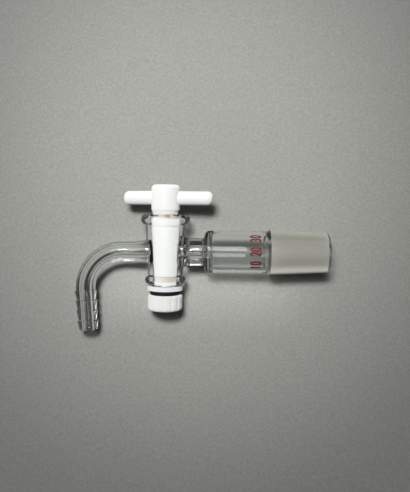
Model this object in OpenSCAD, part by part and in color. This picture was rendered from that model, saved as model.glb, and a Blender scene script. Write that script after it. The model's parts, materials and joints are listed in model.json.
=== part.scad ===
// Glass stopcock: a fused glass body with a ground cone on one side and a bent,
// serrated hose end on the other, and a white plug that a T handle turns.
//
// Frame, in millimetres: the origin is the centre of the ground cone's wide end.
// +X runs out of the cone's mouth, along the flow. +Y runs up the plug to the handle.
// +Z is up as the stopcock lies on a bench.

/* [Ground cone] */
// Diameter of the ground face at its wide end
cone_d = 24; // [20:0.5:30]
// Length of the ground face
cone_len = 29; // [20:1:40]
// Taper of the ground face: the diameter falls by one part in this many
cone_taper = 10; // [8:1:20]
// Wall of the cone at its wide end
cone_wall = 3.1; // [2:0.1:4]
// Fall of the cone's bore, on its radius, from the wide end to the mouth
cone_bore_fall = 0.5; // [0:0.1:1]
// Length of the clear lip past the ground face
lip_len = 1.5; // [1.3:0.1:6]

/* [Wide tube] */
// Outer diameter of the wide tube
tube_d = 22.2; // [18:0.2:28]
// Wall of the wide tube
tube_wall = 1.7; // [1.2:0.1:2.5]
// Length of the wide tube, from its shoulder to the flare of the cone
tube_len = 32.2; // [20:0.5:50]
// Radius of the shoulder's outer edge
shoulder_r = 2.8; // [1:0.1:4]
// Thickness of the shoulder's end wall
shoulder_wall = 2.8; // [2:0.1:4]
// Length of the flare from the wide tube out to the ground face
flare_len = 1.4; // [0.5:0.1:4]

/* [Neck] */
// Outer diameter of the neck between barrel and wide tube
neck_d = 14.2; // [12:0.2:16]
// Bore of the neck
neck_bore = 4.6; // [3:0.1:7]
// Length of the neck, from the plug's axis to the shoulder
neck_len = 20; // [16:0.5:30]
// Radius of the fused corner between neck and shoulder
neck_fillet = 1.3; // [0.5:0.1:2]
// Radius of the flare where the neck is fused to the barrel
neck_flare_r = 4; // [3.5:0.5:10]
// Length of that flare, out from the barrel's wall
neck_flare_len = 3; // [1:0.1:3.4]

/* [Barrel] */
// Height of the barrel's rim above the flow axis
barrel_top = 19.2; // [18:0.1:22]
// Depth of the barrel's foot below the flow axis
barrel_foot = 17.6; // [16.5:0.1:20]
// Wall of the barrel round the plug
barrel_wall = 3; // [2.5:0.1:4]
// Distance of the top bead's middle below the rim
top_bead_drop = 2.7; // [2.7:0.1:4]
// Radius of the top bead's round section
top_bead_r = 2.6; // [1.5:0.1:2.7]
// Distance of the foot bead's middle above the foot
foot_bead_rise = 3; // [2.2:0.1:4]
// Radius of the foot bead's round section
foot_bead_r = 2.1; // [1.5:0.1:2.5]
// How far the top bead stands out from the barrel's wall
top_bead_stand = 2.3; // [0.5:0.1:2.5]
// How far the foot bead stands out from the barrel's wall
foot_bead_stand = 1.7; // [0.5:0.1:2]
// Depth of the rounding-out at the top of the barrel's bore
funnel_depth = 0.9; // [0.5:0.1:2]
// How far it opens out, on its radius
funnel_spread = 0.6; // [0.2:0.1:1]

/* [Hose side] */
// Outer diameter of the hose-side tube
hose_d = 10.2; // [9:0.1:12]
// Bore of the hose-side tube
hose_bore = 4.6; // [3:0.1:6]
// Reach of the straight tube, from the plug's axis to the bend
hose_reach = 22.3; // [21:0.1:40]
// Radius of the bend along the tube's middle
bend_r = 19; // [14:0.5:30]
// Angle of the bend
bend_angle = 94; // [60:1:120]
// Radius of the flare where the tube is fused to the barrel
hose_flare_r = 55; // [20:1:90]
// Length of that flare, out from the barrel's wall
hose_flare_len = 10; // [2:0.1:11]

/* [Hose end] */
// Number of serrations
barb_count = 4; // [2:1:6]
// Length of each serration
barb_pitch = 5.2; // [4:0.1:7]
// Crest diameter of the first serration, next to the bend
barb_d = 11.5; // [10.6:0.1:13]
// Fall in diameter along each serration, from crest to valley
barb_fall = 1.6; // [0.6:0.1:2.5]
// Fall in crest diameter from one serration to the next
barb_shrink = 0.15; // [0:0.05:0.5]
// Radius of the rounding on each crest
crest_r = 0.35; // [0.1:0.05:0.5]
// Radius of the fire-polished tip
tip_r = 0.8; // [0.6:0.1:1.5]

/* [Plug] */
// Diameter of the plug on the flow axis
plug_d = 12.95; // [11:0.05:15]
// Taper of the plug: the diameter rises by one part in this many
plug_taper = 10; // [8:1:20]
// Clearance between plug and barrel, all round
plug_gap = 0.08; // [0.03:0.01:0.1]
// Bore through the plug
plug_bore = 4; // [2:0.1:5]
// How far the plug is turned away from fully open, in degrees
plug_turn = 6; // [-45:1:45]
// Height of the plug's ground cone above the flow axis
plug_top = 16.9; // [15.5:0.1:18]
// Height of the lower edge of the fine wiper groove
wiper_height = 12.1; // [10:0.1:14]
// Width of the fine wiper groove
wiper_w = 1; // [0.5:0.1:1.5]
// Depth of the fine wiper groove
wiper_depth = 0.15; // [0.1:0.05:0.6]
// Depth of the foot groove's lower edge below the flow axis
foot_groove_depth = 15.3; // [14.8:0.1:16]
// Width of the foot groove
foot_groove_w = 2.8; // [1:0.1:4]
// Diameter in the foot groove
foot_groove_d = 11; // [9:0.1:11]
// Gap between the end of the plug's cone and the foot of the barrel
foot_gap = 0.4; // [0.2:0.1:1]

/* [Head and handle] */
// Diameter of the waist under the head
waist_d = 13; // [10:0.1:13.4]
// Height of the waist
waist_h = 2.7; // [1:0.1:4]
// Diameter of the collar between waist and head
collar_d = 13.2; // [11:0.1:14]
// Height of the collar
collar_h = 0.5; // [0.5:0.1:2]
// Height of the cone from the collar out to the head
collar_cone_h = 1.6; // [0.5:0.1:4]
// Diameter of the head
head_d = 14.6; // [13:0.1:18]
// Height of the head
head_h = 12.7; // [11:0.1:18]
// Radius of the head's top edge
head_edge_r = 2; // [0.5:0.1:3]
// Diameter of the handle bar
bar_d = 7.2; // [5:0.1:9]
// Length of the handle bar
bar_len = 45.9; // [30:0.5:60]
// How far the bar's middle sits off the plug's axis, along the bar
bar_offset = 1.4; // [-5:0.1:5]
// Height of the bar's axis above the underside of the head
bar_height = 5.8; // [5:0.1:6.5]
// Radius of the bar's rounded ends
bar_end_r = 2.7; // [1:0.1:3]
// Clearance of the bar in the head
bar_gap = 0.02; // [0:0.01:0.05]

/* [Tail, washer, ring and nut] */
// Diameter of the threaded tail
tail_d = 10.4; // [8:0.1:10.8]
// How far the flat on the tail lies inside the full round
tail_flat = 0.8; // [0.3:0.1:1.5]
// Pitch of the tail's thread
thread_pitch = 1.5; // [1:0.1:2]
// Diameter of the washer
washer_d = 18.2; // [16:0.1:20]
// Thickness of the washer
washer_t = 2.2; // [1:0.1:3]
// Clearance between the barrel's foot and the washer
washer_gap = 0.05; // [0.02:0.01:0.1]
// Thickness of the rubber ring's section before it is squeezed
ring_section = 2.65; // [2:0.05:3]
// Height that the rubber ring is squeezed to
ring_h = 2.35; // [1.6:0.05:2.4]
// Diameter of the nut over its ribs
nut_d = 17.8; // [15:0.1:22]
// Height of the nut
nut_h = 8.3; // [6:0.1:12]
// Number of flutes round the nut
flute_count = 14; // [6:1:18]
// Radius of each flute
flute_r = 1.2; // [0.8:0.1:2]
// Depth of each flute
flute_depth = 0.4; // [0.2:0.05:0.8]
// Radius of the nut's lower outer edge
nut_edge_r = 1.9; // [0.5:0.1:2.5]
// Clearance between the nut's bore and the tail, all round
nut_gap = 0.08; // [0.03:0.01:0.1]

/* [Hidden] */
$fn = 96;

// Overlap that lets a cut run past the face it opens
past = 1;

// Places along the flow, from the origin
valve_x = neck_len + tube_len + flare_len;
shoulder_x = -flare_len - tube_len;
mouth_x = cone_len + lip_len;

// Ground cone
cone_tip_d = cone_d - cone_len / cone_taper;
cone_bore_r = cone_d / 2 - cone_wall;
mouth_bore_r = cone_bore_r - cone_bore_fall;
lip_wall = cone_tip_d / 2 - mouth_bore_r;
// Rounding of the lip's outer edge, nearly across its wall; it starts where the cone's taper ends
lip_r = 0.88 * lip_wall;
lip_start = mouth_x - lip_r;
lip_outer_r = cone_d / 2 - lip_start / cone_taper / 2;

// Wide tube
tube_bore_r = tube_d / 2 - tube_wall;
cavity_x = shoulder_x + shoulder_wall;
cavity_r = max(0.5, shoulder_r - tube_wall / 2);
seam_len = 2.4;

// Plug and barrel: radius of the plug's cone, and of the barrel's bore, at a height
function plug_r(y) = plug_d / 2 + y / plug_taper / 2;
function bore_r(y) = plug_r(y) + plug_gap;
barrel_top_r = bore_r(barrel_top) + barrel_wall;
barrel_foot_r = bore_r(-barrel_foot) + barrel_wall;
barrel_mid_r = bore_r(0) + barrel_wall;
top_bead_y = barrel_top - top_bead_drop;
foot_bead_y = foot_bead_rise - barrel_foot;
top_bead_mid = bore_r(top_bead_y) + barrel_wall + top_bead_stand - top_bead_r;
foot_bead_mid = bore_r(foot_bead_y) + barrel_wall + foot_bead_stand - foot_bead_r;
rim_edge_r = 1;
funnel_r = bore_r(barrel_top) + funnel_spread;
foot_chamfer = 0.7;

// Hose end: where it starts, after the bend
hose_end_x = -hose_reach - bend_r * sin(bend_angle);
hose_end_y = bend_r * (cos(bend_angle) - 1);
hose_end_len = barb_count * barb_pitch;

// Head and handle
collar_y = plug_top + waist_h;
head_y = collar_y + collar_h + collar_cone_h;
bar_y = head_y + bar_height;

// Stack under the barrel
plug_foot_y = foot_gap - barrel_foot;
washer_top = -barrel_foot - washer_gap;
ring_top = washer_top - washer_t;
nut_top = ring_top - ring_h;
nut_foot = nut_top - nut_h;
tail_end_inset = 1;
tail_end = nut_foot + tail_end_inset;
tail_gap = 0.1;
// Depth of the thread; the tail's end and the nut's mouth are chamfered to suit it
thread_depth = 0.4 * thread_pitch;
tail_chamfer = thread_depth;
nut_mouth = 4 / 3 * thread_depth;
nut_top_edge = 0.7;

// Carries a piece drawn round the valve's centre to its place
module at_valve() {
    translate([-valve_x, 0, 0])
        children();
}

// Turns a profile, drawn as radius and height, round the plug's axis
module turned_on_plug() {
    rotate([-90, 0, 0])
        rotate_extrude()
            children();
}

// Turns a profile, drawn as radius and distance, round the flow axis
module turned_on_flow() {
    rotate([0, 90, 0])
        rotate_extrude()
            children();
}

// Straight round bar along the flow, centred at the given distance
module bar_along_flow(d, from, len) {
    translate([from, 0, 0])
        rotate([0, 90, 0])
            cylinder(d = d, h = len);
}

// Profile of a tube from the plug's axis out, widened in a flare at the barrel's wall
module fused_tube_profile(d, reach, flare_r, flare_len) {
    flare_end = barrel_mid_r + flare_len;
    root_r = d / 2 + flare_r - sqrt(pow(flare_r, 2) - pow(flare_len, 2));
    square([d / 2, reach]);
    difference() {
        square([root_r, flare_end]);
        translate([d / 2 + flare_r, flare_end])
            circle(r = flare_r);
    }
}

// Profile of the barrel, with a rolled bead at each end
module barrel_profile() {
    // Tapered wall, with its rim drawn in by the rounding of the rim's edge
    polygon([
        [0, -barrel_foot],
        [barrel_foot_r - foot_chamfer, -barrel_foot],
        [barrel_foot_r, foot_chamfer - barrel_foot],
        [barrel_top_r, barrel_top - rim_edge_r],
        [0, barrel_top - rim_edge_r]
    ]);
    translate([barrel_top_r - rim_edge_r, barrel_top - rim_edge_r])
        circle(r = rim_edge_r);
    translate([0, barrel_top - 2 * rim_edge_r])
        square([barrel_top_r - rim_edge_r, 2 * rim_edge_r]);
    translate([top_bead_mid, top_bead_y])
        circle(r = top_bead_r);
    translate([foot_bead_mid, foot_bead_y])
        circle(r = foot_bead_r);
}

// Profile of the barrel's bore: the plug's taper, a funnel above and a chamfer below
module barrel_bore_profile() {
    polygon([
        [0, -barrel_foot - past],
        [bore_r(-barrel_foot) + foot_chamfer + past, -barrel_foot - past],
        [bore_r(-barrel_foot) + foot_chamfer, -barrel_foot],
        [bore_r(-barrel_foot), foot_chamfer - barrel_foot],
        [bore_r(barrel_top - funnel_depth), barrel_top - funnel_depth],
        [funnel_r, barrel_top],
        [funnel_r, barrel_top + past],
        [0, barrel_top + past]
    ]);
}

// Profile of the neck, shoulder, wide tube, flare, ground face and lip
module cone_side_profile() {
    translate([0, -valve_x])
        fused_tube_profile(neck_d, neck_len + shoulder_r, neck_flare_r, neck_flare_len);
    // Fused corner between neck and shoulder
    difference() {
        translate([0, shoulder_x - neck_fillet])
            square([neck_d / 2 + neck_fillet, neck_fillet]);
        translate([neck_d / 2 + neck_fillet, shoulder_x - neck_fillet])
            circle(r = neck_fillet);
    }
    // Wide tube with its rounded shoulder
    translate([0, shoulder_x])
        square([tube_d / 2 - shoulder_r, tube_len]);
    translate([tube_d / 2 - shoulder_r, shoulder_x + shoulder_r])
        circle(r = shoulder_r);
    translate([0, shoulder_x + shoulder_r])
        square([tube_d / 2, tube_len - shoulder_r]);
    // Flare and ground face
    polygon([
        [0, -flare_len],
        [tube_d / 2, -flare_len],
        [cone_d / 2, 0],
        [lip_outer_r, lip_start],
        [0, lip_start]
    ]);
    // Lip with a fire-polished edge
    translate([0, lip_start - past])
        square([lip_outer_r - lip_r, lip_r + past]);
    translate([lip_outer_r - lip_r, lip_start])
        circle(r = lip_r);
}

// Profile of the hollow in the wide tube and the cone
module cone_side_bore_profile() {
    translate([0, cavity_x])
        square([tube_bore_r - cavity_r, past]);
    translate([0, cavity_x])
        square([tube_bore_r - cavity_r, 2 * cavity_r]);
    translate([tube_bore_r - cavity_r, cavity_x + cavity_r])
        circle(r = cavity_r);
    // Straight bore, the fused seam where it narrows, and the cone's own bore
    polygon([
        [0, cavity_x + cavity_r],
        [tube_bore_r, cavity_x + cavity_r],
        [tube_bore_r, -flare_len - seam_len],
        [cone_bore_r, 0],
        [mouth_bore_r, mouth_x],
        [mouth_bore_r, mouth_x + past],
        [0, mouth_x + past]
    ]);
}

// Bend of a given section, turning from the flow axis down beside the barrel
module bend(d) {
    translate([-hose_reach, -bend_r, 0])
        rotate([0, 0, 90])
            rotate_extrude(angle = bend_angle)
                translate([bend_r, 0])
                    circle(d = d);
}

// Carries a piece drawn along +Z to the end of the bend, pointing out of it
module at_hose_end() {
    translate([hose_end_x, hose_end_y, 0])
        rotate([0, 0, bend_angle])
            rotate([0, -90, 0])
                children();
}

// Profile of the serrated end: each serration tapers from its crest and steps out again
module hose_end_profile() {
    // Root that ties the serrations into the end of the bend
    translate([0, -past])
        square([(hose_d + hose_bore) / 4, 2 * past]);
    for (i = [0 : barb_count - 1]) {
        top_r = (barb_d - i * barb_shrink) / 2;
        slope = barb_fall / 2 / barb_pitch;
        last = i == barb_count - 1;
        straight = last ? barb_pitch - tip_r : barb_pitch;
        edge_r = top_r - slope * straight;
        round_r = top_r - slope * crest_r;
        translate([0, i * barb_pitch]) {
            polygon([
                [0, 0],
                [round_r - crest_r, 0],
                [round_r - crest_r, crest_r],
                [round_r, crest_r],
                [edge_r, straight],
                [0, straight]
            ]);
            translate([round_r - crest_r, crest_r])
                circle(r = crest_r);
        }
        // Fire-polished tip
        if (last) {
            translate([0, i * barb_pitch + straight])
                square([edge_r - tip_r, tip_r]);
            translate([edge_r - tip_r, i * barb_pitch + straight])
                circle(r = tip_r);
        }
    }
}

// Glass body: barrel, ground cone and hose end fused in one piece
module glass_body() {
    color([0.8, 0.92, 0.88, 0.45])
        difference() {
            union() {
                turned_on_flow()
                    cone_side_profile();
                at_valve() {
                    turned_on_plug()
                        barrel_profile();
                    rotate([0, -90, 0])
                        rotate_extrude()
                            fused_tube_profile(hose_d, hose_reach, hose_flare_r, hose_flare_len);
                    bend(hose_d);
                    at_hose_end()
                        rotate_extrude()
                            hose_end_profile();
                }
            }
            turned_on_flow()
                cone_side_bore_profile();
            at_valve() {
                turned_on_plug()
                    barrel_bore_profile();
                bar_along_flow(neck_bore, 0, valve_x + cavity_x + past);
                bar_along_flow(hose_bore, -hose_reach, hose_reach);
                bend(hose_bore);
                at_hose_end()
                    cylinder(d = hose_bore, h = hose_end_len + past);
            }
        }
}

// Profile of the plug's seat: taper with its wiper groove and foot groove
module plug_seat_profile() {
    difference() {
        polygon([
            [0, plug_foot_y],
            [plug_r(plug_foot_y), plug_foot_y],
            [plug_r(plug_top), plug_top],
            [0, plug_top]
        ]);
        translate([plug_r(wiper_height) - wiper_depth, wiper_height])
            square([past, wiper_w]);
        translate([foot_groove_d / 2, -foot_groove_depth])
            square([plug_d, foot_groove_w]);
    }
}

// Profile of the waist, the collar and the head with its rounded top edge
module plug_head_profile() {
    translate([0, plug_top])
        square([waist_d / 2, waist_h]);
    polygon([
        [0, collar_y],
        [collar_d / 2, collar_y],
        [collar_d / 2, collar_y + collar_h],
        [head_d / 2, head_y],
        [0, head_y]
    ]);
    translate([0, head_y])
        square([head_d / 2, head_h - head_edge_r]);
    translate([0, head_y])
        square([head_d / 2 - head_edge_r, head_h]);
    translate([head_d / 2 - head_edge_r, head_y + head_h - head_edge_r])
        circle(r = head_edge_r);
}

// Round tail with a chamfered end and one long flat; the clearance widens it all round
module tail(clearance) {
    difference() {
        turned_on_plug()
            polygon([
                [0, tail_end],
                [tail_d / 2 + clearance - tail_chamfer, tail_end],
                [tail_d / 2 + clearance, tail_end + tail_chamfer],
                [tail_d / 2 + clearance, plug_foot_y],
                [0, plug_foot_y]
            ]);
        translate([-tail_d, tail_end - past, -tail_d - tail_d / 2 + tail_flat - clearance])
            cube([2 * tail_d, plug_foot_y - tail_end + past, tail_d]);
    }
}

// Turns a piece with the plug
module plug_turned() {
    at_valve()
        rotate([0, -plug_turn, 0])
            children();
}

// Plug: tapered seat, cross bore, head with the bar's hole, and threaded tail
module plug() {
    color([0.96, 0.96, 0.95])
        plug_turned()
            difference() {
                union() {
                    turned_on_plug()
                        plug_seat_profile();
                    turned_on_plug()
                        plug_head_profile();
                    tail(0);
                }
                bar_along_flow(plug_bore, -plug_d, 2 * plug_d);
                translate([0, bar_y, 0])
                    bar_along_flow(bar_d + 2 * bar_gap, -head_d, 2 * head_d);
            }
}

// Half profile of the bar, with both ends rounded
module bar_profile() {
    square([bar_d / 2 - bar_end_r, bar_len]);
    translate([0, bar_end_r])
        square([bar_d / 2, bar_len - 2 * bar_end_r]);
    intersection() {
        square([bar_d / 2, bar_len]);
        for (end = [bar_end_r, bar_len - bar_end_r])
            translate([bar_d / 2 - bar_end_r, end])
                circle(r = bar_end_r);
    }
}

// Handle bar: a round rod with rounded ends, pushed through the head
module handle_bar() {
    color([0.96, 0.96, 0.95])
        plug_turned()
            translate([bar_offset - bar_len / 2, bar_y, 0])
                rotate([0, 90, 0])
                    rotate_extrude()
                        bar_profile();
}

// Washer: a flat disc, keyed to the flat of the tail so that it turns with the plug
module washer() {
    color([0.9, 0.92, 0.94])
        plug_turned()
            difference() {
                translate([0, ring_top, 0])
                    rotate([-90, 0, 0])
                        cylinder(d = washer_d, h = washer_t);
                tail(tail_gap);
            }
}

// Rubber ring: round section, squeezed flat between the washer and the nut
module rubber_ring() {
    color([0.06, 0.06, 0.06])
        at_valve()
            turned_on_plug()
                intersection() {
                    translate([tail_d / 2 + tail_gap + ring_section / 2, nut_top + ring_h / 2])
                        circle(d = ring_section);
                    translate([0, nut_top])
                        square([nut_d, ring_h]);
                }
}

// Profile of the nut with its bore
module nut_profile() {
    bore = tail_d / 2 + nut_gap;
    difference() {
        union() {
            translate([0, nut_foot])
                square([nut_d / 2 - nut_edge_r, nut_edge_r]);
            translate([nut_d / 2 - nut_edge_r, nut_foot + nut_edge_r])
                circle(r = nut_edge_r);
            polygon([
                [0, nut_foot + nut_edge_r],
                [nut_d / 2, nut_foot + nut_edge_r],
                [nut_d / 2, nut_top - nut_top_edge],
                [nut_d / 2 - nut_top_edge, nut_top],
                [0, nut_top]
            ]);
        }
        translate([0, nut_foot - past])
            square([bore, nut_h + 2 * past]);
        // Countersunk mouth
        polygon([
            [0, nut_foot - past],
            [bore + nut_mouth + past, nut_foot - past],
            [bore, nut_foot + nut_mouth],
            [0, nut_foot + nut_mouth]
        ]);
    }
}

// Nut: fluted for the fingers, and threaded on the tail
module nut() {
    flute_mid = nut_d / 2 - flute_depth + flute_r;
    color([0.95, 0.95, 0.93])
        at_valve()
            difference() {
                turned_on_plug()
                    nut_profile();
                for (i = [0 : flute_count - 1])
                    rotate([0, i * 360 / flute_count, 0])
                        translate([0, nut_foot - past, flute_mid])
                            rotate([-90, 0, 0])
                                cylinder(r = flute_r, h = nut_h + 2 * past);
            }
}

glass_body();
plug();
handle_bar();
washer();
rubber_ring();
nut();
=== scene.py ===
"""Dresses the glass stopcock: clear and ground glass, turned white plug, rubber ring, nut, print
and stage."""

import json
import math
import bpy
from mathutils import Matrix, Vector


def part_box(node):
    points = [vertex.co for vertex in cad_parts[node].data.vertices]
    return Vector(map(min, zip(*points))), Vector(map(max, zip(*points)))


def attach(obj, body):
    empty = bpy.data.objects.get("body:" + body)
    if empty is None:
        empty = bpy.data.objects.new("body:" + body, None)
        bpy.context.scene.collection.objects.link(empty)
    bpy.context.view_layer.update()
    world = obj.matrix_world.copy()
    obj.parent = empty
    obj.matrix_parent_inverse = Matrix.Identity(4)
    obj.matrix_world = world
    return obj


bl_info = {
    "name": "Glass Stopcock",
    "version": (1, 0, 0),
    "blender": (4, 5, 0),
    "location": "View3D > Sidebar > Stopcock",
    "description": "Builds the finish of a glass stopcock and the stage that it lies on",
    "category": "Object",
}

import bpy
import numpy as np
from bpy.props import FloatProperty, FloatVectorProperty, PointerProperty, StringProperty
from mathutils import Matrix, Vector

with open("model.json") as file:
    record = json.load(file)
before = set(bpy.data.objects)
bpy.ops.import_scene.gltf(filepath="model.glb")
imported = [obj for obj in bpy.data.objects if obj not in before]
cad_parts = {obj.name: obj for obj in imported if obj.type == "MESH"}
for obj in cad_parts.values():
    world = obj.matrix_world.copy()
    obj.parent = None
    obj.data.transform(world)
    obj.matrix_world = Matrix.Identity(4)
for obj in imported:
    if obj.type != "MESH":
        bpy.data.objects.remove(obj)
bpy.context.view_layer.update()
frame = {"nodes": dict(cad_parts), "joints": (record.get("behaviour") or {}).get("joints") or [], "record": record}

NODES = frame["nodes"]
JOINTS = {joint["name"]: joint for joint in frame["joints"]}
COUPLING = frame["record"]["behaviour"]["couplings"][0]
MM = 0.001
FLOW, PLUG_AXIS = Vector((1, 0, 0)), Vector((0, 1, 0))

# Place of the plug's axis on the flow axis, and the travel of the nut for each turn
VALVE_X = JOINTS["plug_turn"]["pos_m"][0]
THREAD_PITCH = abs(COUPLING["ratio"]) * math.tau

# Where the neck and the hose tube leave the barrel, from the valve's axis, and where the wide
# tube's shoulder is
BARREL_REACH = 11.0 * MM
SHOULDER_X = -33.6 * MM

# Radius half way through the barrel's wall, level with the flow, and its growth for each metre up
# the barrel
WALL_R = 8.3 * MM
WALL_TAPER = 0.05

# Where the beads start, from the flow axis, and how far they stand out past BARREL_REACH
BEAD_START = 8 * MM
BEAD_RISE = 3 * MM

# Radii just past those of three bores: the cone's, that of the neck and the hose tube, and the
# nut's
WIDE_BORE_R = 9.7 * MM
NARROW_BORE_R = 3.5 * MM
NUT_BORE_R = 5.6 * MM

# Where the hose tube's bend starts, from the valve's axis, the bend's radius, and the leg's slope
# past square
HOSE_REACH = 22.3 * MM
BEND_R = 19.0 * MM
LEG_LEAN = 0.07

# Plain part of the wide tube that carries the print, clear of its shoulder and of the seam
PRINTED_TUBE = (-20 * MM, -1.3 * MM)

# Where the cone's wide rim, on which the part rests, starts
RIM_START = -5 * MM

# Recesses of the plug, from the washer's top, where warm shade is painted: under the head, above the foot, and the
# wiper groove
HEAD_RECESS = (34.55 * MM, 37.25 * MM)
FOOT_RECESS = (2.35 * MM, 5.15 * MM)
WIPER_GROOVE = (30.9 * MM, 31.4 * MM)


# ---------------------------------------------------------------- settings


def colour_setting(name, description, default):
    """A colour property."""
    colour = (*default, 1)
    return FloatVectorProperty(
        name=name, description=description, subtype="COLOR", size=4, min=0, max=1, default=colour
    )


def share_setting(name, description, default, top=1.0):
    """A property from nought up to one, or up to top."""
    return FloatProperty(
        name=name, description=description, subtype="FACTOR", default=default, min=0, max=top
    )


def length_setting(name, description, default):
    """A length property, in metres."""
    return FloatProperty(
        name=name, description=description, unit="LENGTH", default=default, min=0, precision=5
    )


class GlassSettings(bpy.types.PropertyGroup):
    """Look of the glass."""

    tint: colour_setting("Tint", "Colour of the clear glass", (0.975, 0.995, 0.985))
    ior: FloatProperty(name="Index", description="Index of refraction", default=1.47, min=1, max=2)
    ground_length: length_setting("Ground length", "Length of the cone's ground face", 0.029)
    frost: share_setting("Frost", "Roughness of the ground face", 0.5)
    ground_colour: colour_setting("Ground face", "Colour of the ground face", (0.6, 0.592, 0.517))
    ground_share: share_setting("Ground share", "Share of light that the face scatters", 0.35)
    ground_pass: share_setting("Ground pass", "Lamp light that passes the ground face", 0.3)
    tube_pass: share_setting("Tube pass", "Lamp light that passes a face of the wide tube", 0.92)
    bore_pass: share_setting("Bore pass", "Lamp light that the bore gathers on the plug", 1.12, 1.5)
    thin_edge: share_setting("Thin edge", "Lamp light that passes a thin wall's sides", 0.72)
    thick_edge: share_setting("Thick edge", "Lamp light that passes a thick wall's sides", 0.15)


class PlasticSettings(bpy.types.PropertyGroup):
    """Look of the white pieces and the rubber ring."""

    plug_colour: colour_setting("Plug", "Colour of the plug", (0.94, 0.938, 0.925))
    bar_colour: colour_setting("Bar", "Colour of the handle bar", (0.94, 0.938, 0.925))
    washer_colour: colour_setting("Washer", "Colour of the washer", (0.88, 0.9, 0.92))
    nut_colour: colour_setting("Nut", "Colour of the nut", (0.86, 0.86, 0.84))
    # Colour of the warm shade painted in the plug's recesses
    painted_recess_shade_colour: colour_setting("Recess", "Colour in the plug's recesses", (0.66, 0.6, 0.52))
    rubber_colour: colour_setting("Rubber", "Colour of the rubber ring", (0.006, 0.006, 0.006))
    roughness: share_setting("Roughness", "Roughness of the white pieces", 0.42)
    milkiness: share_setting("Milkiness", "Share of light that goes in and comes out again", 0.3)
    sheen: share_setting("Sheen", "Pale bloom where the white pieces are seen edge on", 0.3)
    line_pitch: length_setting("Line pitch", "Distance from one turned line to the next", 0.00022)
    line_depth: length_setting("Line depth", "Depth of the turned lines", 0.000004)


class PrintSettings(bpy.types.PropertyGroup):
    """Plain numerals printed round the wide tube."""

    numerals: StringProperty(
        name="Numerals", description="Numerals 0 to 3 and spaces", default="10 20 30"
    )
    colour: colour_setting("Ink", "Colour of the ink", (0.16, 0.004, 0.005))
    height: length_setting("Height", "Height of a numeral", 0.005)
    width: length_setting("Width", "Width of a numeral", 0.0015)
    gap: length_setting("Gap", "Gap between two numerals", 0.00092)
    stroke: length_setting("Stroke", "Width of a stroke", 0.00074)
    thickness: length_setting("Thickness", "Thickness of the ink", 0.00003)
    foot: length_setting("Foot", "Distance of the numerals' foot from the cone's wide end", 0.0052)
    shift: length_setting("Shift", "From the tube's top round to the line's middle", 0.0012)


class StageSettings(bpy.types.PropertyGroup):
    """Floor, lamps and camera."""

    # Colour of the pool of light painted on the floor round the part
    painted_pool_colour: colour_setting("Floor", "Floor colour round the part", (0.372, 0.372, 0.345))
    far_colour: colour_setting("Far floor", "Far floor and backdrop", (0.197, 0.197, 0.184))
    lamp_power: FloatProperty(
        name="Lamp power", description="Power of the lamps", unit="POWER", default=4.4, min=0
    )
    lamp_distance: length_setting("Lamp distance", "From the lamps to the part", 0.65)
    lamp_tilt: FloatVectorProperty(
        name="Lamp tilt",
        description="Slope of the lamps' axis from the floor's normal, along X and Y",
        size=2,
        default=(-0.16, 0.37),
    )
    fill: FloatProperty(
        name="Fill", description="Strength of the light from all round", default=0.12, min=0
    )
    # How much paler the floor is painted where the glass throws light
    thrown: share_setting("Thrown light", "How much paler the floor is in thrown light", 0.3)
    camera_distance: length_setting("Camera distance", "From the camera to the part", 0.32)
    view_width: length_setting("View width", "Width of the view at the part", 0.2114)
    camera_roll: FloatProperty(
        name="Camera roll",
        description="Turn of the camera about its own axis",
        unit="ROTATION",
        default=0.0105,
    )


# ---------------------------------------------------------------- meshes


def new_piece(name, points, faces):
    """A mesh object at the origin from arrays of points and of faces."""
    mesh = bpy.data.meshes.new(name)
    mesh.from_pydata(points.tolist(), [], faces.tolist())
    piece = bpy.data.objects.new(name, mesh)
    bpy.context.scene.collection.objects.link(piece)
    return piece


def glass_points():
    """Vertices of the glass body as an array."""
    vertices = NODES["glass_body"].data.vertices
    points = np.empty(len(vertices) * 3)
    vertices.foreach_get("co", points)
    return points.reshape(-1, 3)


def arc(middle, radii, first, last, count=13):
    """Points of an elliptical arc: middle plus the radii times the cosine and sine of the angle, in
    degrees."""
    angle = np.radians(np.linspace(first, last, count))
    return np.array(middle) + np.array(radii) * np.stack([np.cos(angle), np.sin(angle)], axis=1)


def line(*points, steps=8):
    """Points of a straight run through the corners given, so many steps to each side."""
    corners = np.array(points, dtype=float)
    sides = len(points) - 1
    stops = np.linspace(0, sides, steps * sides + 1)
    run = [np.interp(stops, np.arange(sides + 1), places) for places in corners.T]
    return np.stack(run, axis=1)


def numeral_strokes(numeral):
    """Strokes of a plain numeral in a box one wide and one high."""
    if numeral == "0":
        return [arc((0.5, 0.5), (0.5, 0.5), 0, 360, 33)]
    if numeral == "1":
        return [line((0.5, 0), (0.5, 1)), line((0.5, 1), (0.12, 0.8))]
    if numeral == "2":
        bowl = arc((0.5, 0.72), (0.48, 0.28), 165, -35)
        return [np.vstack([bowl, line(bowl[-1], (0.02, 0.0))[1:]]), line((0, 0), (1, 0))]
    if numeral == "3":
        upper = arc((0.46, 0.75), (0.44, 0.25), 150, -85)
        lower = arc((0.48, 0.25), (0.5, 0.25), 85, -150)
        return [upper, lower]
    return []


def ribbon(path, width, thickness):
    """Ring of four corners at each point of a path: half the width to each side of it, at the foot
    and at the top of the ink. Sides are square to the path's direction."""
    along = np.gradient(path, axis=0)
    if np.allclose(path[0], path[-1]):
        along[0] = along[-1] = path[1] - path[-2]
    along /= np.linalg.norm(along, axis=1, keepdims=True)
    side = np.stack([-along[:, 1], along[:, 0]], axis=1) * width / 2
    foot = np.zeros(len(path))
    top = foot + thickness
    corners = [(path - side, foot), (path + side, foot), (path + side, top), (path - side, top)]
    return np.stack([np.column_stack([edge, height]) for edge, height in corners], axis=1)


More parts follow.
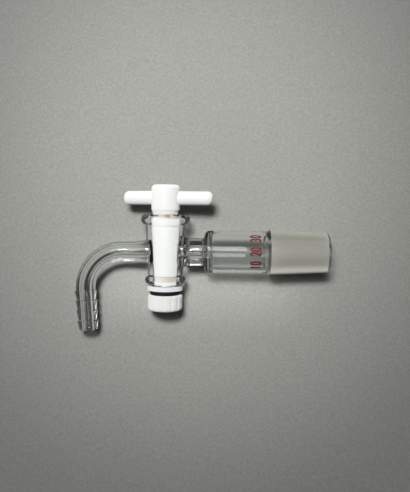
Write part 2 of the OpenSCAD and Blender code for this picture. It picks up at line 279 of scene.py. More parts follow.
def tube_faces(rings):
    """Quads between rings of four corners, and a cap at each end."""
    first = np.arange(rings - 1)[:, None] * 4 + np.arange(4)
    second = first + 4
    around = np.roll(first, -1, axis=1)
    quads = np.stack([first, around, np.roll(second, -1, axis=1), second], axis=2).reshape(-1, 4)
    last = 4 * (rings - 1)
    caps = np.array([[3, 2, 1, 0], [last, last + 1, last + 2, last + 3]])
    return np.vstack([quads, caps])


# ---------------------------------------------------------------- material helpers


def new_material(name):
    """A new node material, its tree and its Principled shader."""
    material = bpy.data.materials.new(name)
    material.use_nodes = True
    return material, material.node_tree, material.node_tree.nodes["Principled BSDF"]


def dress(piece, material):
    """Gives a piece one material in its first slot."""
    piece.data.materials.clear()
    piece.data.materials.append(material)


def set_constants(shader, constants):
    """Sets values on the shader's own sockets."""
    for name, value in constants.items():
        shader.inputs[name].default_value = value


def add(tree, kind, inputs, **settings):
    """Adds a node; inputs maps a socket's name or place to its value, or to the socket that feeds
    it."""
    made = tree.nodes.new(kind)
    for name, value in settings.items():
        setattr(made, name, value)
    for name, value in inputs.items():
        if isinstance(value, bpy.types.NodeSocket):
            tree.links.new(value, made.inputs[name])
        else:
            made.inputs[name].default_value = value
    return made


def calc(tree, operation, *values, use_clamp=False):
    """Result of a Math node."""
    inputs = dict(enumerate(values))
    return add(tree, "ShaderNodeMath", inputs, operation=operation, use_clamp=use_clamp).outputs[0]


def product(tree, value, *others):
    """All the values multiplied."""
    for other in others:
        value = calc(tree, "MULTIPLY", value, other)
    return value


def weighed(tree, value, *parts):
    """Value plus each part times its weight."""
    for part, weight in parts:
        value = calc(tree, "MULTIPLY_ADD", part, weight, value)
    return value


def varied(tree, value, cloud, span):
    """Value that goes up and down with a noise, by span in all."""
    return weighed(tree, value, (calc(tree, "SUBTRACT", cloud, 0.5), span))


def vector_calc(tree, operation, first, second=None):
    """Result of a Vector Math node. The second value is a number for SCALE, and a vector
    otherwise."""
    inputs = {0: first}
    if second is not None:
        inputs["Scale" if operation == "SCALE" else 1] = second
    made = add(tree, "ShaderNodeVectorMath", inputs, operation=operation)
    return made.outputs["Value" if operation == "DOT_PRODUCT" else "Vector"]


def between(tree, value, low, high):
    """Mask that is one where value lies between low and high."""
    above = calc(tree, "GREATER_THAN", value, low)
    return product(tree, above, calc(tree, "LESS_THAN", value, high))


def blend(tree, share, first, second, data_type="FLOAT"):
    """First, or second where share is one."""
    # The Mix node has a pair of inputs and an output for each type of data
    pair, output = {"FLOAT": (2, 0), "VECTOR": (4, 1), "RGBA": (6, 2)}[data_type]
    inputs = {0: share, pair: first, pair + 1: second}
    return add(tree, "ShaderNodeMix", inputs, data_type=data_type).outputs[output]


def fade(tree, value, start, end):
    """Nought before start, one past end, and a smooth rise between. Start may lie above end."""
    inputs = {"Value": value, "From Min": start, "From Max": end}
    made = add(tree, "ShaderNodeMapRange", inputs, interpolation_type="SMOOTHSTEP")
    return made.outputs["Result"]


def noise(tree, place, scale, detail):
    """Cloudy values about a half; scale is counted for each metre."""
    inputs = {"Vector": place, "Scale": scale, "Detail": detail}
    return add(tree, "ShaderNodeTexNoise", inputs).outputs[0]


def grey(tree, value):
    """The grey colour of a value."""
    return add(tree, "ShaderNodeCombineColor", {0: value, 1: value, 2: value}).outputs[0]


def relief(tree, height, distance=1.0):
    """Normal of a face with a relief; the height is counted in distances."""
    inputs = {"Height": height, "Distance": distance, "Strength": 1.0}
    return add(tree, "ShaderNodeBump", inputs).outputs["Normal"]


def mix_shaders(tree, share, first, second):
    """First shader, or the second where share is one."""
    return add(tree, "ShaderNodeMixShader", {0: share, 1: first, 2: second}).outputs[0]


def object_place(tree):
    """Object coordinates, and the same split in three."""
    place = tree.nodes.new("ShaderNodeTexCoord").outputs["Object"]
    return place, add(tree, "ShaderNodeSeparateXYZ", {0: place}).outputs


def face_normal(tree):
    """Normal of the face."""
    return tree.nodes.new("ShaderNodeNewGeometry").outputs["Normal"]


def distance_from_line(tree, first, second):
    """Distance from a straight line, from the two coordinates square to it."""
    squares = calc(tree, "ADD", calc(tree, "POWER", first, 2.0), calc(tree, "POWER", second, 2.0))
    return calc(tree, "SQRT", squares)


def off_plug_axis(tree, split):
    """Distance from the plug's axis."""
    return distance_from_line(tree, calc(tree, "SUBTRACT", split[0], VALVE_X), split[2])


def new_group(name, inputs, outputs):
    """An empty node group with its sockets; returns it, its input node's sockets and its output
    node's."""
    group = bpy.data.node_groups.new(name, "ShaderNodeTree")
    for label, kind in inputs:
        group.interface.new_socket(label, in_out="INPUT", socket_type=kind)
    for label, kind in outputs:
        group.interface.new_socket(label, in_out="OUTPUT", socket_type=kind)
    given, result = group.nodes.new("NodeGroupInput"), group.nodes.new("NodeGroupOutput")
    return group, given.outputs, result.inputs


# ---------------------------------------------------------------- shared effects


# How far apart in pitch the two trains of turned lines are, and the weight of specks among them
SECOND_TRAIN = 0.93
SPECK_WEIGHT = 1.5

# Flats at the root and the crest of the thread, as shares of its pitch
THREAD_ROOT, THREAD_CREST = 0.06, 0.44

# Values of the noise over which dust shows on the rubber, and over which the ink is worn, and how
# much paler worn ink is: its gain and its lift
DUST_FADE = (0.45, 0.8)
WORN_FADE = (0.55, 0.8)
WORN_GAIN, WORN_LIFT = 1.5, 0.01

# The white fluoropolymer is matt and milky all through, which makes it look flat
WHITE_CONSTANTS = {
    "IOR": 1.38,
    "Diffuse Roughness": 1,
    "Sheen Roughness": 0.6,
    "Subsurface Radius": (1, 0.95, 0.9),
    "Subsurface Scale": 3.5 * MM,
}


def turned_plastic_group():
    """Node group: white plastic off a lathe, with faint cloudy colour, and fine lines square to the
    axis."""
    if "turned_plastic" in bpy.data.node_groups:
        return bpy.data.node_groups["turned_plastic"]
    inputs = (
        ("Place", "NodeSocketVector"),
        ("Along", "NodeSocketFloat"),
        ("Colour", "NodeSocketColor"),
        ("Roughness", "NodeSocketFloat"),
        ("Pitch", "NodeSocketFloat"),
        ("Depth", "NodeSocketFloat"),
    )
    outputs = (
        ("Colour", "NodeSocketColor"),
        ("Roughness", "NodeSocketFloat"),
        ("Height", "NodeSocketFloat"),
    )
    group, given, result = new_group("turned_plastic", inputs, outputs)
    cloud = noise(group, given["Place"], scale=320.0, detail=3.0)
    speck = noise(group, given["Place"], scale=2600.0, detail=2.0)
    shade = varied(group, 1.0, cloud, span=0.04)
    group.links.new(vector_calc(group, "SCALE", given["Colour"], shade), result["Colour"])
    group.links.new(varied(group, given["Roughness"], speck, span=0.16), result["Roughness"])
    # Two trains of lines, a little apart in pitch, so that they swell and fade as a tool's marks do
    turn = calc(group, "DIVIDE", calc(group, "MULTIPLY", given["Along"], math.tau), given["Pitch"])
    second_turn = calc(group, "MULTIPLY", turn, SECOND_TRAIN)
    lines = calc(group, "ADD", calc(group, "SINE", turn), calc(group, "SINE", second_turn))
    grain = weighed(group, lines, (speck, SPECK_WEIGHT))
    group.links.new(calc(group, "MULTIPLY", grain, given["Depth"]), result["Height"])
    return group


def screw_thread_group():
    """Node group: height of a right-hand thread, from the place against its axis along Y."""
    if "screw_thread" in bpy.data.node_groups:
        return bpy.data.node_groups["screw_thread"]
    inputs = (("Place", "NodeSocketVector"), ("Pitch", "NodeSocketFloat"))
    group, given, result = new_group("screw_thread", inputs, (("Height", "NodeSocketFloat"),))
    x, y, z = add(group, "ShaderNodeSeparateXYZ", {0: given["Place"]}).outputs
    turn = calc(group, "DIVIDE", calc(group, "ARCTAN2", z, x), math.tau)
    advance = calc(group, "ADD", calc(group, "DIVIDE", y, given["Pitch"]), turn)
    flank = calc(group, "PINGPONG", advance, 0.5)
    cut = calc(group, "MINIMUM", calc(group, "MAXIMUM", flank, THREAD_ROOT), THREAD_CREST)
    group.links.new(calc(group, "MULTIPLY", cut, given["Pitch"]), result["Height"])
    return group


def turned_white(name, colour, settings, axis=PLUG_AXIS, tint=None, threaded=None):
    """White turned plastic. Its lines are square to axis. tint gives the mask of the warm shade painted in the
    recesses, and threaded that of the threaded faces. Each is a function of the tree and of the split place."""
    material, tree, shader = new_material(name)
    place, split = object_place(tree)
    inputs = {
        "Place": place,
        "Along": vector_calc(tree, "DOT_PRODUCT", place, axis),
        "Colour": colour,
        "Roughness": settings.roughness,
        "Pitch": settings.line_pitch,
        "Depth": settings.line_depth,
    }
    turned = add(tree, "ShaderNodeGroup", inputs, node_tree=turned_plastic_group()).outputs
    tone, height = turned["Colour"], turned["Height"]
    if tint:
        # Warm shade painted in the recesses
        tone = blend(tree, tint(tree, split), tone, settings.painted_recess_shade_colour, "RGBA")
    if threaded:
        about_axis = vector_calc(tree, "SUBTRACT", place, (VALVE_X, 0, 0))
        inputs = {"Place": about_axis, "Pitch": THREAD_PITCH}
        screw = add(tree, "ShaderNodeGroup", inputs, node_tree=screw_thread_group()).outputs
        height = weighed(tree, height, (screw["Height"], threaded(tree, split)))
    tree.links.new(relief(tree, height), shader.inputs["Normal"])
    tree.links.new(tone, shader.inputs["Base Color"])
    tree.links.new(turned["Roughness"], shader.inputs["Roughness"])
    weights = {"Subsurface Weight": settings.milkiness, "Sheen Weight": settings.sheen}
    set_constants(shader, WHITE_CONSTANTS | weights)
    return material


# ---------------------------------------------------------------- glass


# Slants of a face from the lamps over which the light dims: in a thick tube, in a thin one, in the
# barrel and in the barrel's bore; and those over which a thin tube passes more, from its share at
# the middle
THICK_DIMS = (0.008, 0.035)
THIN_DIMS = (0.2, 0.28)
BARREL_DIMS = (0.3, 0.45)
BORE_DIMS = (0.8, 1.0)
THIN_SPREADS = (0.01, 0.12)
THIN_MIDDLE_PASS = 0.8

# Light that passes the barrel's sides, against a thick tube's
BARREL_EDGE = 2

# How squarely the hose tube's upper side faces the lamps, over the bend as a whole
HOSE_FACING = 0.95

# Distances from the plug's axis, across it, over which the flares take the barrel's normal, and the
# share they take
FLARE_FADE = (8.4 * MM, 7.0 * MM)
FLARE_SHARE = 0.9

# Sideways parts of the normal over which a glow is painted on the cone's upper and lower sides, what each adds to
# the share that scatters, what the lower side adds to the tone as painted glow, and how far the shading turns to
# the lamps
UPPER_FADE, LOWER_FADE = (0.65, 0.95), (-0.4, -0.9)
UPPER_PAINTED_GLOW_SHARE, LOWER_PAINTED_GLOW_SHARE = 0.25, 0.6
LOWER_PAINTED_GLOW = 0.35
LAMP_TURN = 1.2


def ground_mask(tree, split, settings):
    """One on the ground face of the cone: outside its bore, from the wide end over the ground
    length."""
    outside = calc(tree, "GREATER_THAN", distance_from_line(tree, split[1], split[2]), WIDE_BORE_R)
    return product(tree, between(tree, split[0], 0.0, settings.ground_length), outside)


def off_hose_axis(tree, split):
    """Distance from the hose tube's middle line: straight as far as the bend, round it, and along
    the leg."""
    past_bend = calc(tree, "MINIMUM", calc(tree, "SUBTRACT", split[0], VALVE_X - HOSE_REACH), 0.0)
    above_leg = calc(tree, "ADD", split[1], BEND_R)
    outward = distance_from_line(tree, past_bend, calc(tree, "MAXIMUM", above_leg, 0.0))
    lean = calc(tree, "MULTIPLY", calc(tree, "MINIMUM", above_leg, 0.0), LEG_LEAN)
    sideways = calc(tree, "SUBTRACT", calc(tree, "SUBTRACT", outward, BEND_R), lean)
    return distance_from_line(tree, sideways, split[2])


def slant_from_lamp(tree, split, lamp_axis):
    """How far a face turns from the lamp about its own tube: nought where it faces the lamp, one
    where it is seen edge on. For the tubes along the flow and for the barrel the part of the normal
    along the tube is left out."""
    normal = face_normal(tree)
    past_barrel = calc(tree, "GREATER_THAN", split[0], VALVE_X + BARREL_REACH)
    on_hose_side = calc(tree, "LESS_THAN", split[0], VALVE_X - BARREL_REACH)
    across_barrel = lamp_axis.cross(PLUG_AXIS).normalized()
    across_flow = lamp_axis.cross(FLOW).normalized()
    sideways = blend(tree, past_barrel, across_barrel, across_flow, "VECTOR")
    up = blend(tree, past_barrel, PLUG_AXIS.cross(across_barrel), FLOW.cross(across_flow), "VECTOR")
    up = blend(tree, on_hose_side, up, lamp_axis, "VECTOR")
    towards = vector_calc(tree, "DOT_PRODUCT", normal, up)
    aside = vector_calc(tree, "DOT_PRODUCT", normal, sideways)
    most = blend(tree, on_hose_side, distance_from_line(tree, towards, aside), HOSE_FACING)
    return calc(tree, "SUBTRACT", 1.0, calc(tree, "DIVIDE", calc(tree, "ABSOLUTE", towards), most))


def lamp_share(tree, split, ground, lamp_axis, settings):
    """Share of a lamp's light that passes a face. A thick tube gathers light on its middle and
    holds it back at its sides, a thin one spreads it a little and holds it back near its edges
    alone, and so does the barrel. The barrel's bore lies on the plug and holds light back at the
    very edge. The ground face passes little."""
    slant = slant_from_lamp(tree, split, lamp_axis)
    off_valve = off_plug_axis(tree, split)
    # The barrel's wall tapers as the plug does
    within_wall = weighed(tree, WALL_R, (split[1], WALL_TAPER))
    on_bore = calc(tree, "LESS_THAN", off_valve, within_wall)
    # The beads stand out past the flares of the side tubes
    at_bead = calc(tree, "GREATER_THAN", calc(tree, "ABSOLUTE", split[1]), BEAD_START)
    barrel_r = weighed(tree, BARREL_REACH, (at_bead, BEAD_RISE))
    on_barrel = calc(tree, "LESS_THAN", off_valve, barrel_r)
    on_wide_tube = calc(tree, "GREATER_THAN", split[0], SHOULDER_X)
    on_hose_side = calc(tree, "LESS_THAN", split[0], VALVE_X - BARREL_REACH)
    off_flow = distance_from_line(tree, split[1], split[2])
    off_middle = blend(tree, on_hose_side, off_flow, off_hose_axis(tree, split))
    in_narrow_bore = calc(tree, "LESS_THAN", off_middle, NARROW_BORE_R)

    def dimmed(slants, edge_pass):
        """One before the slants given, and edge_pass past them."""
        return weighed(tree, 1.0, (fade(tree, slant, *slants), edge_pass - 1))

    thick = blend(tree, in_narrow_bore, dimmed(THICK_DIMS, settings.thick_edge), 1.0)
    spread = fade(tree, slant, *THIN_SPREADS)
    spread = weighed(tree, THIN_MIDDLE_PASS, (spread, settings.tube_pass - THIN_MIDDLE_PASS))
    thin = product(tree, spread, dimmed(THIN_DIMS, settings.thin_edge))
    passed = blend(tree, on_wide_tube, thick, thin)
    barrel = dimmed(BARREL_DIMS, BARREL_EDGE * settings.thick_edge)
    passed = blend(tree, on_barrel, passed, barrel)
    passed = blend(tree, on_bore, passed, product(tree, dimmed(BORE_DIMS, 0.0), settings.bore_pass))
    return blend(tree, ground, passed, settings.ground_pass)


def softened_normal(tree, split):
    """Normal of a face. Over the plug the side tubes' flares and the beads take the barrel's own
    round normal, so that they melt into it and the plug is seen through them as through the
    barrel."""
    normal = face_normal(tree)
    across = calc(tree, "SUBTRACT", split[0], VALVE_X)
    radial = add(tree, "ShaderNodeCombineXYZ", {0: across, 1: 0.0, 2: split[2]}).outputs[0]
    radial = vector_calc(tree, "NORMALIZE", radial)
    facing_out = calc(tree, "SIGN", vector_calc(tree, "DOT_PRODUCT", radial, normal))
    radial = vector_calc(tree, "SCALE", radial, facing_out)
    outside = calc(tree, "GREATER_THAN", off_plug_axis(tree, split), WALL_R)
    over_plug = fade(tree, calc(tree, "ABSOLUTE", across), *FLARE_FADE)
    share = product(tree, outside, over_plug, FLARE_SHARE)
    return vector_calc(tree, "NORMALIZE", blend(tree, share, normal, radial, "VECTOR"))


def ground_white(tree, place, lamp_axis, settings):
    """Matt shader of the ground face, with a glow painted near its outline, and the share of light that it
    scatters back.
    """
    normal = face_normal(tree)
    # Painted glow: the face is made paler and scatters more near the cone's outline, most of all on the side away
    # from the lamps, standing in for light that runs along the wall and comes out there
    sideways = add(tree, "ShaderNodeSeparateXYZ", {0: normal}).outputs[1]
    upper = fade(tree, sideways, *UPPER_FADE)
    lower = fade(tree, sideways, *LOWER_FADE)
    share = weighed(tree, settings.ground_share, (lower, LOWER_PAINTED_GLOW_SHARE), (upper, UPPER_PAINTED_GLOW_SHARE))
    cloud = noise(tree, place, scale=220.0, detail=4.0)
    shade = varied(tree, weighed(tree, 1.0, (lower, LOWER_PAINTED_GLOW)), cloud, span=0.2)
    tone = vector_calc(tree, "SCALE", settings.ground_colour[:3], shade)
    # Light inside the wall evens it out, so its shading is turned part of the way to the lamps
    turned = vector_calc(tree, "NORMALIZE", vector_calc(tree, "ADD", normal, lamp_axis * LAMP_TURN))
    return add(tree, "ShaderNodeBsdfDiffuse", {"Color": tone, "Normal": turned}).outputs[0], share


def glass_material(settings, lamp_axis):
    """Clear glass, rough and whitened where the cone is ground. Lamps shine through it by the Light
    Path's shadow rays, so that what lies behind and inside it is lit."""
    material, tree, shader = new_material("clear_and_ground_glass")
    place, split = object_place(tree)
    ground = ground_mask(tree, split, settings)
    rough = varied(tree, settings.frost, noise(tree, place, scale=5200.0, detail=2.0), span=0.2)
    tree.links.new(product(tree, rough, ground), shader.inputs["Roughness"])
    tree.links.new(softened_normal(tree, split), shader.inputs["Normal"])
    constants = {"Base Color": settings.tint, "Transmission Weight": 1, "IOR": settings.ior}
    set_constants(shader, constants)
    whitened, share = ground_white(tree, place, lamp_axis, settings)
    faced = mix_shaders(tree, product(tree, ground, share), shader.outputs[0], whitened)
    # What a lamp's rays meet
    passed = grey(tree, lamp_share(tree, split, ground, lamp_axis, settings))
    through = add(tree, "ShaderNodeBsdfTransparent", {"Color": passed}).outputs[0]
    to_lamp = tree.nodes.new("ShaderNodeLightPath").outputs["Is Shadow Ray"]
    seen = mix_shaders(tree, to_lamp, faced, through)
    tree.links.new(seen, tree.nodes["Material Output"].inputs["Surface"])
    return material


# ---------------------------------------------------------------- operators


class STOPCOCK_OT_glass(bpy.types.Operator):
    """Give the glass body its clear and ground finish"""

    bl_idname = "stopcock.glass"
    bl_label = "Glass"

    def execute(self, context):
        scene = context.scene
        dress(NODES["glass_body"], glass_material(scene.stopcock_glass, axis_to_lamps(scene)))
        return {"FINISHED"}


class STOPCOCK_OT_plug(bpy.types.Operator):
    """Give the plug and its handle bar their turned finish"""

    bl_idname = "stopcock.plug"
    bl_label = "Plug and bar"

    def execute(self, context):
        settings = context.scene.stopcock_plastic
        plug = turned_white(
            "turned_plug", settings.plug_colour, settings, tint=painted_recess_shade, threaded=plug_tail
        )
        dress(NODES["plug"], plug)
        bar = turned_white("turned_bar", settings.bar_colour, settings, axis=bar_axis())
        dress(NODES["handle_bar"], bar)
        return {"FINISHED"}


def bar_axis():
    """Unit vector along the handle bar, from its box: the box is as deep as the rod is thick."""
    low, high = (Vector(corner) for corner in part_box("handle_bar"))
    span = high - low
    thick = span.y
    return Vector((1, 0, (span.z - thick) / (span.x - thick))).normalized()


def painted_recess_shade(tree, split):
    """Mask of the warm shade painted in the recesses under the head and above the foot, and more weakly in the
    wiper groove. The painted shade is heavier on the side away from the lamps."""
    washer_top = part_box("washer")[1][1]
    groove_shade_share = 0.6
    shaded_side_fade = (-9 * MM, 7 * MM)

    def ring(low, high):
        """Mask of a ring between two heights above the washer."""
        return between(tree, split[1], washer_top + low, washer_top + high)

    lower = weighed(tree, ring(*FOOT_RECESS), (ring(*WIPER_GROOVE), groove_shade_share))
    rings = calc(tree, "ADD", ring(*HEAD_RECESS), lower, use_clamp=True)
    # Painted shade: heavier on the side away from the lamps
    side = fade(tree, calc(tree, "SUBTRACT", split[0], VALVE_X), *shaded_side_fade)
    return product(tree, rings, side)


def plug_tail(tree, split):
    """Mask of the threaded tail, which starts at the barrel's foot."""
    return calc(tree, "LESS_THAN", split[1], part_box("washer")[1][1])


class STOPCOCK_OT_nut(bpy.types.Operator):
    """Give the washer and the nut their finish"""

    bl_idname = "stopcock.nut"
    bl_label = "Washer and nut"

    def execute(self, context):
        settings = context.scene.stopcock_plastic
        washer = turned_white("turned_washer", settings.washer_colour, settings)
        dress(NODES["washer"], washer)
        nut = turned_white("turned_nut", settings.nut_colour, settings, threaded=nut_bore)
        dress(NODES["nut"], nut)
        return {"FINISHED"}


def nut_bore(tree, split):
    """Mask of the nut's threaded bore."""
    return calc(tree, "LESS_THAN", off_plug_axis(tree, split), NUT_BORE_R)


class STOPCOCK_OT_ring(bpy.types.Operator):
    """Give the ring its rubber"""

    bl_idname = "stopcock.ring"
    bl_label = "Rubber ring"

    def execute(self, context):
        dress(NODES["rubber_ring"], rubber_material(context.scene.stopcock_plastic))
        return {"FINISHED"}


def rubber_material(settings):
    """Black rubber with a little dust, which makes it paler, rougher and uneven."""
    material, tree, shader = new_material("black_rubber")
    place, _ = object_place(tree)
    dust = noise(tree, place, scale=900.0, detail=5.0)
    dusty = (0.02, 0.02, 0.019, 1)
    tone = blend(tree, fade(tree, dust, *DUST_FADE), settings.rubber_colour, dusty, "RGBA")
    tree.links.new(tone, shader.inputs["Base Color"])
    tree.links.new(varied(tree, 0.65, dust, span=0.3), shader.inputs["Roughness"])
    tree.links.new(relief(tree, dust, distance=0.02 * MM), shader.inputs["Normal"])
    set_constants(shader, {"Specular IOR Level": 0.25})
    return material


class STOPCOCK_OT_numerals(bpy.types.Operator):
    """Print plain numerals round the wide tube"""

    bl_idname = "stopcock.numerals"
    bl_label = "Numerals"

    def execute(self, context):
        settings = context.scene.stopcock_print
        points, faces = numeral_mesh(settings)
        piece = new_piece("printed_numerals", wrapped_on_tube(points, settings), faces)
        dress(piece, ink_material(settings))
        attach(piece, "body")
        return {"FINISHED"}


def numeral_mesh(settings):
    """Points (run along the line, height up the numeral, thickness) and faces of all strokes, from
    the middle of the line."""
    size = np.array([settings.width, settings.height])
    pitch = settings.width + settings.gap
    middle = (len(settings.numerals) * pitch - settings.gap) / 2
    points, faces, count = [], [], 0
    for place, numeral in enumerate(settings.numerals):
        for stroke in numeral_strokes(numeral):
            path = stroke * size + (place * pitch - middle, 0)
            rings = ribbon(path, settings.stroke, settings.thickness)
            points.append(rings.reshape(-1, 3))
            faces.append(tube_faces(len(rings)) + count)
            count += rings.shape[0] * rings.shape[1]
    return np.vstack(points), np.vstack(faces)


def wrapped_on_tube(points, settings):
    """Carries flat points onto the wide tube. The line runs round the tube as an arc of its radius,
    its middle shifted from the tube's top, and the numerals' feet point to the cone."""
    glass = glass_points()
    printed = (glass[:, 0] > PRINTED_TUBE[0]) & (glass[:, 0] < PRINTED_TUBE[1])
    tube_r = np.hypot(glass[printed, 1], glass[printed, 2]).max()
    angle = (points[:, 0] + settings.shift) / tube_r
    radius = tube_r + points[:, 2]
    along = -settings.foot - points[:, 1]
    return np.column_stack([along, radius * np.sin(angle), radius * np.cos(angle)])


def ink_material(settings):
    """Fired ink: a flat colour that thins in specks."""
    material, tree, shader = new_material("red_ink")
    place, _ = object_place(tree)
    worn = noise(tree, place, scale=1800.0, detail=3.0)
    pale = tuple(value * WORN_GAIN + WORN_LIFT for value in settings.colour[:3]) + (1,)
    tone = blend(tree, fade(tree, worn, *WORN_FADE), settings.colour, pale, "RGBA")
    tree.links.new(tone, shader.inputs["Base Color"])
    tree.links.new(varied(tree, 0.45, worn, span=0.3), shader.inputs["Roughness"])
    set_constants(shader, {"Specular IOR Level": 0.15})
    return material


# ---------------------------------------------------------------- stage


# Middle of the view, and half the side of the square floor
VIEW_MIDDLE = Vector((VALVE_X + 20.4 * MM, 3.1 * MM, 0))
FLOOR_HALF = 3.0

# The pool of light painted on the floor: its middle, how much a distance along Y counts, and the distances over
# which it fades
PAINTED_POOL_MIDDLE = (VALVE_X + 18.7 * MM, 36.5 * MM)
PAINTED_POOL_Y = 0.86
PAINTED_POOL_FADE = (0.043, 0.172)

# Distances from the painted pool's middle over which the floor turns into the backdrop
BACKDROP_FADE = (0.2, 0.6)

# Light that the glass throws beside its shadow, painted on the floor: its middle, and the distances over which it
# fades, along X and Y
PAINTED_THROWN_MIDDLE = (VALVE_X + 14 * MM, -15 * MM)
PAINTED_THROWN_FADES = ((75 * MM, 30 * MM), (34 * MM, 2 * MM))

# Colour overhead as mirrors and glass see it, and the heights over which the backdrop turns into it
OVERHEAD = (0.07, 0.07, 0.07, 1)
OVERHEAD_FADE = (0.08, 0.4)

# Strength of the fill overhead, and the heights over which it grows to its full strength
FILL_OVERHEAD = 0.012
FILL_FADE = (0.5, 0.1)

# Sizes of the nested lamps and their shares of the power, so that the light fades towards its edge
LAMPS = {"inner_lamp": ((0.15, 0.11), 0.8), "outer_lamp": ((0.3, 0.28), 0.2)}

# The glass has up to four walls in line, and each ray can bounce in them
LIGHT_BOUNCES = 24


def resting_plane():
    """Unit normal and a point of the floor: the plane under the cone's wide rim and the two barrel
    ends."""
    points = glass_points()
    cone = points[points[:, 0] > RIM_START]
    at_barrel = abs(points[:, 0] - VALVE_X) < BARREL_REACH + BEAD_RISE
    head = points[at_barrel & (points[:, 1] > BEAD_START)]
    foot = points[at_barrel & (points[:, 1] < -BEAD_START)]
    slope_x = slope_y = level = 0.0
    # The plane is lowered onto its three supports, and each support is the lowest point against the
    # last plane
    rounds = 20
    for _ in range(rounds):
        supports = []
        for part in (cone, head, foot):
            height = part[:, 2] - slope_x * part[:, 0] - slope_y * part[:, 1]
            supports.append(part[height.argmin()])
        supports = np.array(supports)
        flat = np.column_stack([supports[:, :2], np.ones(3)])
        slope_x, slope_y, level = np.linalg.solve(flat, supports[:, 2])
    return Vector((-slope_x, -slope_y, 1)).normalized(), Vector((0, 0, level))


def axis_to_lamps(scene):
    """Unit vector from the part to the lamps."""
    normal, _ = resting_plane()
    return (normal + Vector((*scene.stopcock_stage.lamp_tilt, 0))).normalized()


def seen_directly(tree):
    """Mask of the eye's rays, and of those that a mirror or glass sends on."""
    path = tree.nodes.new("ShaderNodeLightPath").outputs
    bent = calc(tree, "MAXIMUM", path["Is Glossy Ray"], path["Is Transmission Ray"])
    return calc(tree, "MAXIMUM", path["Is Camera Ray"], bent)


def painted_thrown_light(tree, split):
    """Mask of the soft paler place painted where the glass throws light."""
    masks = []
    for place, middle, distances in zip(split, PAINTED_THROWN_MIDDLE, PAINTED_THROWN_FADES):
        off = calc(tree, "ABSOLUTE", calc(tree, "SUBTRACT", place, middle))
        masks.append(fade(tree, off, *distances))
    return product(tree, *masks)


def floor_material(settings):
    """Pale matt floor with a fine grain. A pool of light is painted on it round the part, and a patch of light
    that the glass throws beside its shadow, and it turns into the backdrop's own colour far away, for the eye's
    rays alone, so that no edge shows."""
    material, tree, shader = new_material("floor")
    place, split = object_place(tree)
    from_x = calc(tree, "SUBTRACT", split[0], PAINTED_POOL_MIDDLE[0])
    from_y = calc(tree, "SUBTRACT", split[1], PAINTED_POOL_MIDDLE[1])
    off = distance_from_line(tree, from_x, calc(tree, "MULTIPLY", from_y, PAINTED_POOL_Y))
    cloud = noise(tree, place, scale=26.0, detail=2.0)
    grain = noise(tree, place, scale=900.0, detail=6.0)
    shade = varied(tree, varied(tree, 1.0, cloud, span=0.03), grain, span=0.6)
    # Painted light that the glass throws beside its shadow
    shade = product(tree, shade, weighed(tree, 1.0, (painted_thrown_light(tree, split), settings.thrown)))
    # Painted pool of light: the floor is paler round the part
    past_painted_pool = fade(tree, off, *PAINTED_POOL_FADE)
    tone = blend(tree, past_painted_pool, settings.painted_pool_colour, settings.far_colour, "RGBA")
    tree.links.new(vector_calc(tree, "SCALE", tone, shade), shader.inputs["Base Color"])
    set_constants(shader, {"Roughness": 0.75})
    far = product(tree, fade(tree, off, *BACKDROP_FADE), seen_directly(tree))
    glow = add(tree, "ShaderNodeEmission", {"Color": settings.far_colour}).outputs[0]
    mixed = mix_shaders(tree, far, shader.outputs[0], glow)
    # The eye looks through it from below
    under = tree.nodes.new("ShaderNodeNewGeometry").outputs["Backfacing"]
    clear = tree.nodes.new("ShaderNodeBsdfTransparent").outputs[0]
    mixed = mix_shaders(tree, product(tree, under, seen_directly(tree)), mixed, clear)
    tree.links.new(mixed, tree.nodes["Material Output"].inputs["Surface"])
    return material


def light_world(tree, settings):
    """Low light from all round for plain surfaces. The eye, mirrors and glass see the backdrop's
    colour, darker overhead."""
    direction = tree.nodes.new("ShaderNodeTexCoord").outputs["Generated"]
    height = add(tree, "ShaderNodeSeparateXYZ", {0: direction}).outputs[2]
    sky = blend(tree, fade(tree, height, *OVERHEAD_FADE), settings.far_colour, OVERHEAD, "RGBA")
    fill = grey(tree, weighed(tree, FILL_OVERHEAD, (fade(tree, height, *FILL_FADE), settings.fill)))
    colour = blend(tree, seen_directly(tree), fill, sky, "RGBA")
    tree.links.new(colour, tree.nodes["Background"].inputs["Color"])
    tree.nodes["Background"].inputs["Strength"].default_value = 1


def looking_along(place, axis, sideways):
    """Placing of a lamp or camera at a place: it looks against axis, with sideways to its right."""
    up = axis.cross(sideways).normalized()
    return Matrix.Translation(place) @ Matrix((up.cross(axis), up, axis)).transposed().to_4x4()


def add_floor(settings, normal, level):
    """The floor: a square on the resting plane."""
    corners = np.array([[-1, -1], [1, -1], [1, 1], [-1, 1]]) * FLOOR_HALF
    heights = level.z - (normal.x * corners[:, 0] + normal.y * corners[:, 1]) / normal.z
    floor = new_piece("floor", np.column_stack([corners, heights]), np.array([[0, 1, 2, 3]]))
    dress(floor, floor_material(settings))


def add_lamps(scene, settings):
    """Nested oblong panels that shine along the lamps' axis on the middle of the view."""
    axis = axis_to_lamps(scene)
    placing = looking_along(VIEW_MIDDLE + axis * settings.lamp_distance, axis, FLOW)
    for name, (size, share) in LAMPS.items():
        lamp = bpy.data.lights.new(name, "AREA")
        lamp.shape = "RECTANGLE"
        lamp.size, lamp.size_y = size
        lamp.energy = settings.lamp_power * share
        lamp_object = bpy.data.objects.new(name, lamp)
        scene.collection.objects.link(lamp_object)
        lamp_object.matrix_world = placing


def add_camera(scene, settings, normal):
    """The camera, which looks straight down at the floor."""
    camera = bpy.data.cameras.new("camera")
    camera.sensor_fit = "HORIZONTAL"
    camera.lens = camera.sensor_width * settings.camera_distance / settings.view_width
    camera.clip_start = 10 * MM
    camera_object = bpy.data.objects.new("camera", camera)
    scene.collection.objects.link(camera_object)
    rolled = Matrix.Rotation(settings.camera_roll, 3, normal) @ FLOW
    place = VIEW_MIDDLE + normal * settings.camera_distance
    camera_object.matrix_world = looking_along(place, normal, rolled)
    scene.camera = camera_object


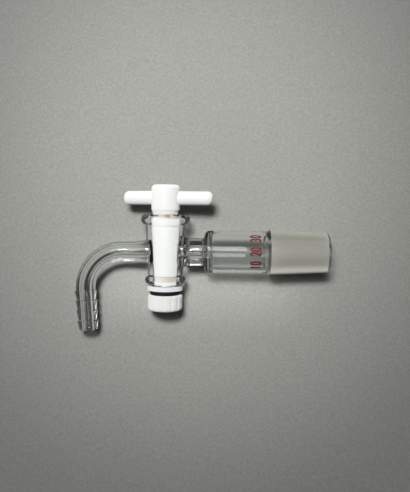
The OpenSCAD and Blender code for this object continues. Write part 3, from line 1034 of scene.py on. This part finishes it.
class STOPCOCK_OT_stage(bpy.types.Operator):
    """Add the floor, the lamps and the camera"""

    bl_idname = "stopcock.stage"
    bl_label = "Stage"

    def execute(self, context):
        scene = context.scene
        settings = scene.stopcock_stage
        normal, level = resting_plane()
        add_floor(settings, normal, level)
        add_lamps(scene, settings)
        add_camera(scene, settings, normal)
        scene.world = bpy.data.worlds.new("world")
        scene.world.use_nodes = True
        light_world(scene.world.node_tree, settings)
        scene.view_settings.view_transform = "Standard"
        scene.cycles.max_bounces = LIGHT_BOUNCES
        scene.cycles.transmission_bounces = LIGHT_BOUNCES
        scene.cycles.transparent_max_bounces = LIGHT_BOUNCES
        # Lamps reach through the glass by its own shadow rays
        scene.cycles.caustics_refractive = False
        scene.cycles.caustics_reflective = False
        return {"FINISHED"}


# ---------------------------------------------------------------- panel


class STOPCOCK_PT_panel(bpy.types.Panel):
    """Buttons for each piece and the stage"""

    bl_idname = "STOPCOCK_PT_panel"
    bl_label = "Glass Stopcock"
    bl_space_type = "VIEW_3D"
    bl_region_type = "UI"
    bl_category = "Stopcock"

    def draw(self, context):
        for operator in OPERATORS:
            self.layout.operator(operator.bl_idname)


OPERATORS = (
    STOPCOCK_OT_glass,
    STOPCOCK_OT_plug,
    STOPCOCK_OT_nut,
    STOPCOCK_OT_ring,
    STOPCOCK_OT_numerals,
    STOPCOCK_OT_stage,
)
SETTINGS = {
    "stopcock_glass": GlassSettings,
    "stopcock_plastic": PlasticSettings,
    "stopcock_print": PrintSettings,
    "stopcock_stage": StageSettings,
}
CLASSES = (*SETTINGS.values(), *OPERATORS, STOPCOCK_PT_panel)


def register():
    for cls in CLASSES:
        bpy.utils.register_class(cls)
    for name, settings in SETTINGS.items():
        setattr(bpy.types.Scene, name, PointerProperty(type=settings))


def unregister():
    for name in SETTINGS:
        delattr(bpy.types.Scene, name)
    for cls in reversed(CLASSES):
        bpy.utils.unregister_class(cls)


def main():
    """Registers the add-on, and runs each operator."""
    register()
    bpy.ops.stopcock.glass()
    bpy.ops.stopcock.plug()
    bpy.ops.stopcock.nut()
    bpy.ops.stopcock.ring()
    bpy.ops.stopcock.numerals()
    bpy.ops.stopcock.stage()


if __name__ == "__main__":
    main()
